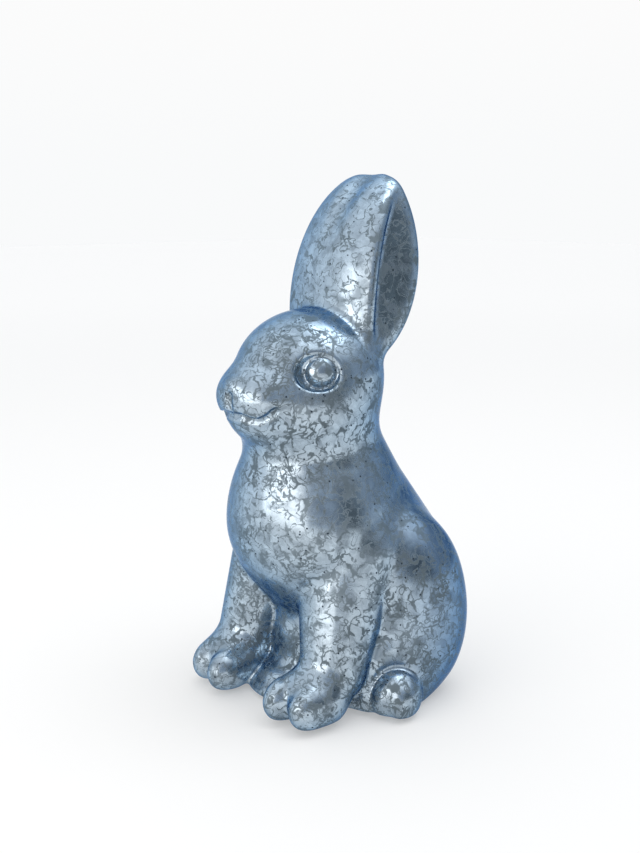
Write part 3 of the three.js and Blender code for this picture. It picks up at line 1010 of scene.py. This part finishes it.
@dataclass
class GlassBody:
    """The blown glass rabbit: its form, its mesh and its finish."""

    torso: Torso = Torso()
    legs: Legs = Legs()
    head: Head = Head()
    ears: Ears = Ears()
    underside: Underside = Underside()
    finish: MercuryGlass = MercuryGlass()
    leg_crease: float = 2
    foot_crease: float = 2
    neck_blend: float = 11
    ear_blend: float = 4
    ear_blank: Ball = Ball((0, 8, 163), (20, 16, 33))
    limb_shares: tuple[float, ...] = (0.0, 0.33, 0.67, 1.0)
    ball_detail: int = 3
    voxels: tuple[float, ...] = (2.4, 1.5, 1.1)
    skin_steps: int = 5
    sharp_bend: float = 12
    refine_steps: int = 4

    def shift(self, skin: bpy.types.Mesh) -> Vector:
        """How far the skin lies from its place in the frame.

        Args:
            skin: The skin, in millimetres.

        Returns:
            The way to move it, in millimetres.
        """
        low, high = (np.array(corner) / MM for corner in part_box("glass_body"))
        depths = [vert.co.y for vert in skin.vertices]
        return Vector((0.0, (low[1] + high[1] - min(depths) - max(depths)) / 2.0, low[2]))

    def form(self) -> Form:
        """Joins the whole rabbit, standing on the plane z = 0.

        Returns:
            The rabbit's field.
        """
        socketed = carve(self.legs.foot_socket_edge, self.torso.form(), both_sides(self.legs.foot_socket))
        body = merge(self.leg_crease, socketed, self.legs.front())
        with_feet = merge(self.foot_crease, body, self.legs.hind())
        with_head = merge(self.neck_blend, with_feet, self.head.form())
        whole = merge(self.ear_blend, with_head, self.ears.form())
        grounded = common(self.underside.ground_round, whole, lambda points: -points[:, 2])
        return carve(self.underside.punt_edge, grounded, self.underside.punt())

    def masses(self) -> list[Ball]:
        """Balls that stand for the rabbit's masses, given for the left side.

        Returns:
            The balls, with each limb as a row of them.
        """
        shapes = [self.torso, self.legs, self.head]
        masses = [mass for shape in shapes for mass in vars(shape).values()] + [self.ear_blank]
        hollows = (self.head.socket, self.legs.foot_socket)
        balls = [mass for mass in masses if isinstance(mass, Ball) and mass not in hollows]
        for limb in (mass for mass in masses if isinstance(mass, Limb)):
            for share in self.limb_shares:
                at = tuple(np.array(limb.start) * (1 - share) + np.array(limb.end) * share)
                radius = limb.radii[0] * (1 - share) + limb.radii[1] * share
                balls.append(Ball(at, (radius, radius, radius)))
        return balls

    def blank(self) -> bpy.types.Mesh:
        """Overlapping balls near the rabbit's masses, to be remeshed as one skin.

        Returns:
            Their mesh, in millimetres.
        """
        mesh = bmesh.new()
        for ball in self.masses():
            turn = Matrix([list(row) for row in ball.turn()]).to_4x4()
            place = Matrix.Translation(ball.at) @ turn @ Matrix.Diagonal((*ball.radii, 1.0))
            for side in (1.0,) if ball.at[0] == 0 else (1.0, -1.0):
                there = Matrix.Diagonal((side, 1.0, 1.0, 1.0)) @ place
                made = bmesh.ops.create_icosphere(mesh, subdivisions=self.ball_detail, radius=1.0, matrix=there)
                faces = list({face for vert in made["verts"] for face in vert.link_faces})
                bmesh.ops.recalc_face_normals(mesh, faces=faces)
        return finished_bmesh(mesh, "glass_blank")

    def skinned(self, mesh: bpy.types.Mesh, voxel: float, form: Form) -> bpy.types.Mesh:
        """Remeshes a skin evenly and draws it onto the form.

        Args:
            mesh: The skin so far, in millimetres.
            voxel: The new facets' size.
            form: The rabbit's field.

        Returns:
            The new skin.
        """
        worker = new_piece("glass_worker", mesh)
        remesh = worker.modifiers.new("even", "REMESH")
        remesh.mode = "VOXEL"
        remesh.voxel_size = voxel
        skin = finished_mesh(worker)
        bpy.data.objects.remove(worker)
        points = np.empty(len(skin.vertices) * 3)
        skin.vertices.foreach_get("co", points)
        drawn = drawn_onto(form, points.reshape(-1, 3), self.skin_steps)
        skin.vertices.foreach_set("co", drawn.ravel())
        return skin

    def refined(self, mesh: bpy.types.Mesh, form: Form) -> bpy.types.Mesh:
        """Splits the facets where the skin bends sharply and draws them onto the form again.

        Args:
            mesh: The even skin, in millimetres.
            form: The rabbit's field.

        Returns:
            The same mesh, refined.
        """
        skin = bmesh.new()
        skin.from_mesh(mesh)
        bent = [edge for edge in skin.edges if edge.calc_face_angle(0.0) > math.radians(self.sharp_bend)]
        ends = {vert for edge in bent for vert in edge.verts}
        around = list({edge for vert in ends for face in vert.link_faces for edge in face.edges})
        bmesh.ops.subdivide_edges(skin, edges=around, cuts=1, use_grid_fill=True)
        bmesh.ops.triangulate(skin, faces=[face for face in skin.faces if len(face.verts) > 4])
        drawn = drawn_onto(form, np.array([vert.co[:] for vert in skin.verts]), self.refine_steps)
        for vert, point in zip(skin.verts, drawn):
            vert.co = point
        skin.to_mesh(mesh)
        skin.free()
        return mesh

    def bored(self, skin: bpy.types.Mesh) -> bpy.types.Mesh:
        """Drills the blow hole up through the punt.

        Args:
            skin: The closed skin, in millimetres.

        Returns:
            The skin with the hole.
        """
        worker, drill = new_piece("glass_worker", skin), new_piece("drill", self.underside.drill())
        bore = worker.modifiers.new("bore", "BOOLEAN")
        bore.operation = "DIFFERENCE"
        bore.solver = "EXACT"
        bore.object = drill
        bored = finished_mesh(worker)
        for helper in (worker, drill):
            bpy.data.objects.remove(helper)
        return bored

    def build(self) -> bpy.types.Object:
        """Makes, places and dresses the glass.

        Returns:
            The finished piece.
        """
        form = self.form()
        skin = self.blank()
        for voxel in self.voxels:
            skin = self.skinned(skin, voxel, form)
        skin = self.bored(self.refined(skin, form))
        skin.transform(Matrix.Scale(MM, 4) @ Matrix.Translation(self.shift(skin)))
        skin.shade_smooth()
        skin.materials.clear()
        skin.materials.append(self.finish.material())
        piece = new_piece("lacquered_glass", skin)
        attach(piece, "root")
        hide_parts("glass_body")
        return piece


@dataclass
class Base:
    """The stopper in the blow hole and the pads under the rabbit."""

    plastic: MattePlastic = MattePlastic()
    felt: Felt = Felt()
    stoppers: tuple[str, ...] = ("base_stopper",)
    pads: tuple[str, ...] = ("front_left_pad", "front_right_pad", "rear_left_pad", "rear_right_pad")

    def dress(self) -> list[bpy.types.Object]:
        """Gives the CAD stopper and pads their finishes.

        Returns:
            The dressed nodes.
        """
        dressed = []
        for names, finish in ((self.stoppers, self.plastic), (self.pads, self.felt)):
            material = finish.material()
            for name in names:
                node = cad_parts[name]
                node.data.materials.clear()
                node.data.materials.append(material)
                dressed.append(node)
        return dressed


# Studio


@dataclass(frozen=True)
class Softbox:
    """A soft light: its degrees right of the camera and above the level, its size, level and colour."""

    name: str
    right: float
    up: float
    size: Pair
    level: float
    tint: Triple


@dataclass(frozen=True)
class Surround:
    """A part of the surroundings: where it is centred, how nearly one must look there to see it, and its colour."""

    right: float
    up: float
    nearness: Pair
    colour: Triple


@dataclass(frozen=True)
class Studio:
    """A pale floor, a grey blue room with a white backdrop, two soft lights and the photograph's camera."""

    azimuth: float = 48.3
    elevation: float = 11.6
    distance: float = 0.426
    target: Triple = (-0.0066, 0.0002, 0.1012)
    focal_pixels: float = 1100.0
    frame_pixels: float = 853.0
    sensor: float = 36.0
    clip_start: float = 0.01
    key: Softbox = Softbox("key", -46.0, 8.0, (0.95, 0.62), 1.45, (1.0, 0.92, 0.84))
    overhead: Softbox = Softbox("overhead", 90.0, 72.0, (0.6, 0.6), 1.6, (0.94, 0.97, 1.0))
    light_reach: float = 0.9
    light_aim: Triple = (0.0, 0.0, 0.1)
    room: Triple = (0.34, 0.40, 0.48)
    bright_side: Surround = Surround(-105.0, 20.0, (-0.3, 0.8), (0.98, 1.0, 1.03))
    dark_side: Surround = Surround(50.0, 6.0, (0.86, 1.0), (0.11, 0.135, 0.15))
    ceiling: Surround = Surround(100.0, 75.0, (0.6, 0.98), (1.35, 1.4, 1.45))
    backdrop: Surround = Surround(180.0, 0.0, (0.8, 0.9), (0.97, 0.97, 0.97))
    backdrop_foot: Triple = (0.946, 0.956, 0.963)
    backdrop_heights: Pair = (0.0, 0.2)
    floor_size: float = 4.0
    floor_colour: Triple = (0.60, 0.585, 0.565)
    floor_roughness: float = 0.9
    floor_gloss: float = 0.1
    floor_glow: float = 0.325
    far_glow: float = 0.376
    far_span: Pair = (0.5, 1.9)

    def direction(self, right: float, up: float) -> Vector:
        """A direction seen from the object, by its angles from the camera's.

        Args:
            right: Degrees to the right of the camera, as the camera sees it.
            up: Degrees above the level.

        Returns:
            The unit vector towards it.
        """
        turn, rise = math.radians(self.azimuth + right), math.radians(up)
        return Vector((math.sin(turn) * math.cos(rise), -math.cos(turn) * math.cos(rise), math.sin(rise)))

    def camera(self) -> None:
        """Sets the camera at the photograph's angle."""
        data = bpy.data.cameras.new("camera")
        data.sensor_fit = "VERTICAL"
        data.sensor_height = self.sensor
        data.lens = self.focal_pixels / self.frame_pixels * self.sensor
        data.clip_start = self.clip_start
        camera = new_piece("camera", data)
        towards = self.direction(0.0, self.elevation)
        camera.location = Vector(self.target) + towards * self.distance
        camera.rotation_euler = towards.to_track_quat("Z", "Y").to_euler()
        bpy.context.scene.camera = camera

    def light(self, box: Softbox) -> None:
        """Adds one soft light facing the rabbit.

        Args:
            box: The light. A level of 1 looks white.
        """
        data = bpy.data.lights.new(box.name, "AREA")
        data.shape = "RECTANGLE"
        data.size, data.size_y = box.size
        data.energy = box.level * math.pi * box.size[0] * box.size[1]
        data.color = box.tint
        light = new_piece(box.name, data)
        towards = self.direction(box.right, box.up)
        light.location = Vector(self.light_aim) + towards * self.light_reach
        light.rotation_euler = towards.to_track_quat("Z", "Y").to_euler()

    def world(self) -> None:
        """A room that is bright on the left and above, dark on the right and white behind the rabbit."""
        world = bpy.data.worlds.new("studio")
        world.use_nodes = True
        bpy.context.scene.world = world
        nodes = Nodes(world.node_tree)
        towards = nodes.add("TexCoord")["Generated"]
        light = opaque(self.room)
        for part in (self.bright_side, self.dark_side, self.ceiling):
            light = nodes.blend(self.seen(nodes, towards, part), light, opaque(part.colour))
        height = nodes.add("SeparateXYZ", {0: towards})["Z"]
        rise = nodes.ramp(height, *self.backdrop_heights)
        backdrop = nodes.blend(rise, opaque(self.backdrop_foot), opaque(self.backdrop.colour))
        light = nodes.blend(self.seen(nodes, towards, self.backdrop), light, backdrop)
        nodes.feed(world.node_tree.nodes["Background"], {"Color": light})

    def seen(self, nodes: Nodes, towards: object, part: Surround) -> Socket:
        """How far a part of the surroundings is seen in a direction.

        Args:
            nodes: The tree to add to.
            towards: The direction looked along.
            part: The part.

        Returns:
            1 where it is seen and 0 where it isn't.
        """
        centre = self.direction(part.right, part.up)
        return nodes.ramp(nodes.measure("DOT_PRODUCT", {0: towards, 1: centre}), *part.nearness)

    def paper(self) -> bpy.types.Material:
        """White paper that keeps shadows, looks white to the eye and in silver, and isn't seen from below.

        Returns:
            The node material.
        """
        material, nodes, shader = new_material("floor_paper")
        path = nodes.add("LightPath")
        seen = nodes.most(path["Is Camera Ray"], path["Is Glossy Ray"], path["Is Transmission Ray"])
        away = nodes.measure("LENGTH", {0: nodes.add("TexCoord")["Object"]})
        glow = nodes.between(nodes.ramp(away, *self.far_span), self.floor_glow, self.far_glow)
        nodes.feed(shader, {
            "Base Color": opaque(self.floor_colour),
            "Roughness": self.floor_roughness,
            "Specular IOR Level": self.floor_gloss,
            "Alpha": nodes.less(1.0, nodes.add("NewGeometry")["Backfacing"]),
            "Emission Color": (1.0, 1.0, 1.0, 1.0),
            "Emission Strength": nodes.times(seen, glow),
        })
        return material

    def floor(self) -> None:
        """Lays the floor."""
        mesh = bmesh.new()
        bmesh.ops.create_grid(mesh, x_segments=1, y_segments=1, size=self.floor_size)
        data = finished_bmesh(mesh, "floor")
        data.materials.append(self.paper())
        new_piece("floor", data)

    def build(self) -> None:
        """Sets up floor, surroundings, lights and camera."""
        self.floor()
        self.world()
        for box in (self.key, self.overhead):
            self.light(box)
        self.camera()
        bpy.context.scene.view_settings.view_transform = "Standard"


def main() -> None:
    """Builds the studio and the rabbit and reports each piece."""
    logging.basicConfig(level=logging.INFO)
    Effects().build()
    Studio().build()
    glass = GlassBody().build()
    LOG.info("%s: %d faces", glass.name, len(glass.data.polygons))
    for node in Base().dress():
        LOG.info("%s: dressed", node.name)
    bpy.context.view_layer.update()


if __name__ == "__main__":
    main()
